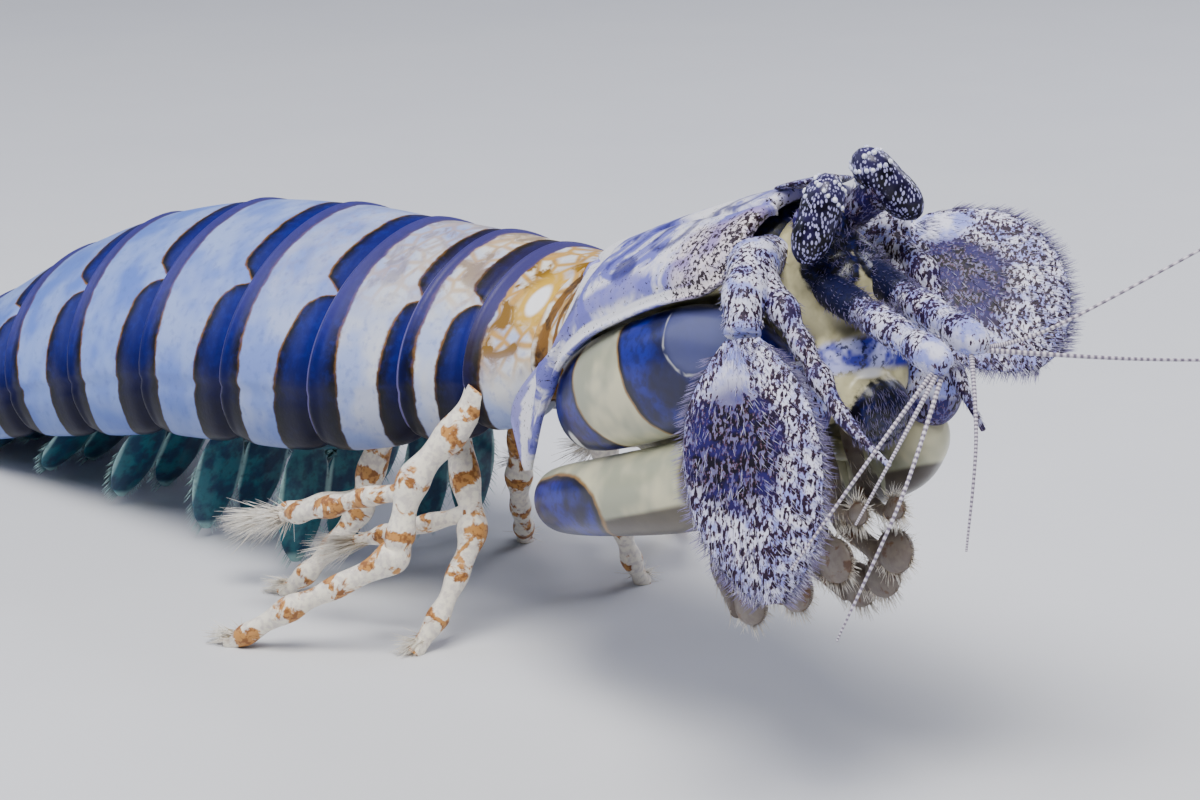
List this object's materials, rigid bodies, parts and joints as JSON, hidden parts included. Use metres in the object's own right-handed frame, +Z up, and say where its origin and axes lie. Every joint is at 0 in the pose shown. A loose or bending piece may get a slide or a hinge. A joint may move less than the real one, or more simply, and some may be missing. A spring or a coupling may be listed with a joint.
{
  "type": "mantis shrimp",
  "caption": "Still, life-size mantis shrimp with banded shell plates, folded toothed claws, stalked eyes and broad feeler blades, standing on its walking legs and tail fan.",
  "frame": {"origin": "middle of the pose's bounding box, at floor level", "axes": "+X from the tail towards the head, +Y to the animal's left, +Z up"},
  "size_m": [0.3308, 0.0996, 0.0868],
  "materials": {
    "shell": "glossy banded shell, cream and dark navy",
    "claw": "glossy cream shell with dark blue patches",
    "speckled": "satin shell, white speckled with purple brown",
    "limb": "satin cream shell with orange brown mottles",
    "cornea": "wet glossy cornea, dark with fine white dashes",
    "gill": "wet translucent blue green skin"
  },
  "bodies": {
    "root": {"abdomen_1": "shell", "abdomen_2": "shell", "abdomen_3": "shell", "abdomen_4": "shell", "abdomen_5": "shell", "abdomen_6": "shell", "antenna_l": "speckled", "antenna_r": "speckled", "antennal_scale_l": "speckled", "antennal_scale_r": "speckled", "antennule_l": "speckled", "antennule_r": "speckled", "carapace": "shell", "carpus_l": "claw", "carpus_r": "claw", "dactyl_l": "claw", "dactyl_r": "claw", "eye_l": "cornea", "eye_r": "cornea", "eyestalk_l": "speckled", "eyestalk_r": "speckled", "head": "claw", "maxilliped_1_l": "limb", "maxilliped_1_r": "limb", "maxilliped_3_l": "limb", "maxilliped_3_r": "limb", "maxilliped_4_l": "limb", "maxilliped_4_r": "limb", "maxilliped_5_l": "limb", "maxilliped_5_r": "limb", "merus_l": "claw", "merus_r": "claw", "pleopod_1_l": "gill", "pleopod_1_r": "gill", "pleopod_2_l": "gill", "pleopod_2_r": "gill", "pleopod_3_l": "gill", "pleopod_3_r": "gill", "pleopod_4_l": "gill", "pleopod_4_r": "gill", "pleopod_5_l": "gill", "pleopod_5_r": "gill", "propodus_l": "claw", "propodus_r": "claw", "rostral_plate": "speckled", "telson": "shell", "thorax_5": "shell", "thorax_6": "shell", "thorax_7": "shell", "thorax_8": "shell", "thorax_core": "limb", "uropod_l": "shell", "uropod_r": "shell", "walking_leg_1_l": "limb", "walking_leg_1_r": "limb", "walking_leg_2_l": "limb", "walking_leg_2_r": "limb", "walking_leg_3_l": "limb", "walking_leg_3_r": "limb"}
  },
  "joints": []
}
